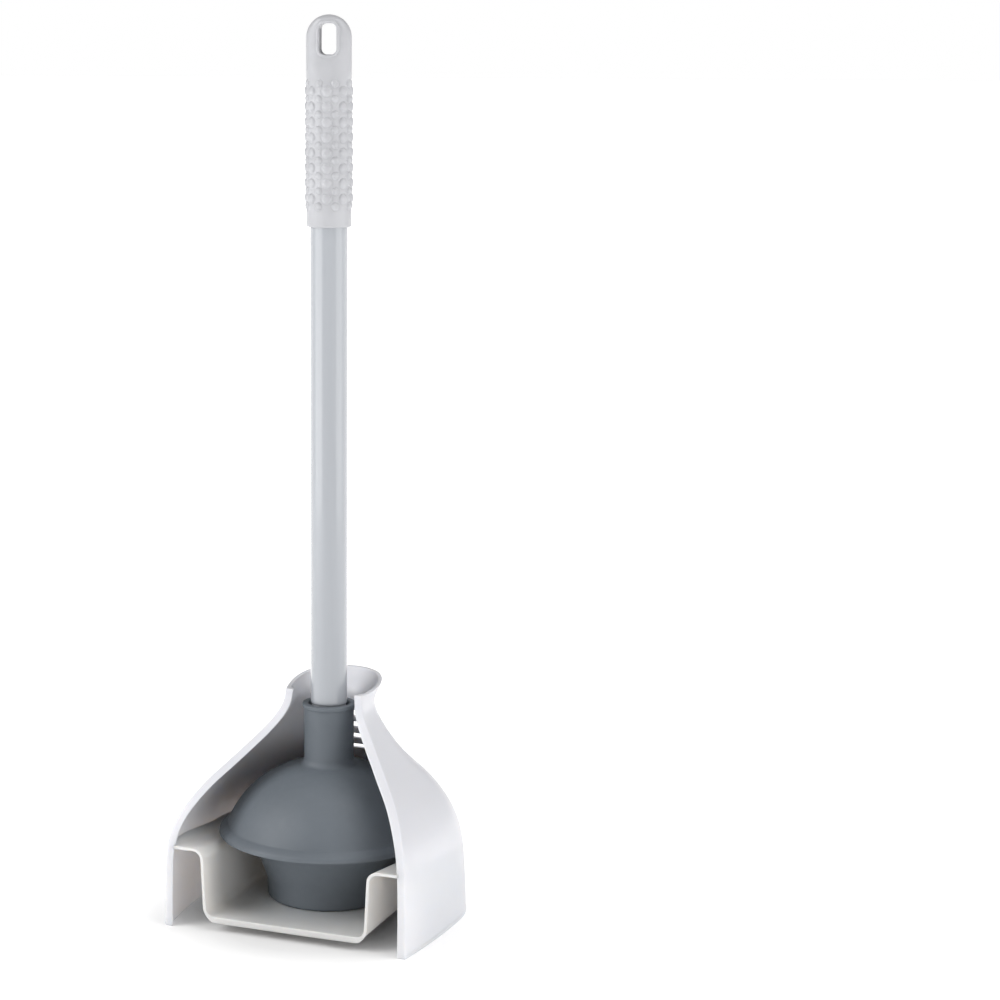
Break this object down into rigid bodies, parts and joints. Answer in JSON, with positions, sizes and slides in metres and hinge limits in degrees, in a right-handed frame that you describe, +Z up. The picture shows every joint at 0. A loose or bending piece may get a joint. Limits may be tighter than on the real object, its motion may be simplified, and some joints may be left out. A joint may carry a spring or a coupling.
{
  "type": "toilet plunger",
  "caption": "Flange plunger with a long tube handle, standing in its own open-front caddy with a raised drip tray.",
  "frame": {"origin": "on the floor, on the handle's axis, within 1.5 mm of the middle of the caddy's footprint", "axes": "+Z up along the handle, the caddy opens towards -Y, +X to the right seen from the front"},
  "size_m": [0.1904, 0.1642, 0.617],
  "materials": {
    "white_shell": "white moulded plastic, soft gloss",
    "white_tray": "white moulded plastic, soft gloss",
    "grip": "light grey-white moulded plastic with round nubs",
    "tube": "glossy white coating with a blue-grey cast",
    "tip": "grey moulded plastic",
    "rubber": "slate grey matte rubber"
  },
  "bodies": {
    "caddy": {"caddy_shell": "white_shell", "drip_tray": "white_tray"},
    "cup": {"cup_rim": "rubber", "cup_dome": "rubber", "cup_flange": "rubber"},
    "handle": {"hand_grip": "grip", "handle_tube": "tube", "threaded_tip": "tip", "cup_neck": "rubber"},
    "lip": {"flange_lip": "rubber"}
  },
  "joints": [
    {"name": "take_out", "type": "slide", "parent": "caddy", "child": "cup", "axis": [0, -0.9848, 0.174], "range_m": [0, 0.2]},
    {"name": "press_down", "type": "slide", "parent": "cup", "child": "handle", "axis": [0, 0, -1], "range_m": [0, 0.025], "stiffness_N_per_m": 2500, "springref_m": -0.002, "deforming": ["cup_dome"]},
    {"name": "flange_fold", "type": "slide", "parent": "cup", "child": "lip", "axis": [0, 0, 1], "range_m": [0, 0.045], "stiffness_N_per_m": 60, "deforming": ["cup_flange"]}
  ]
}
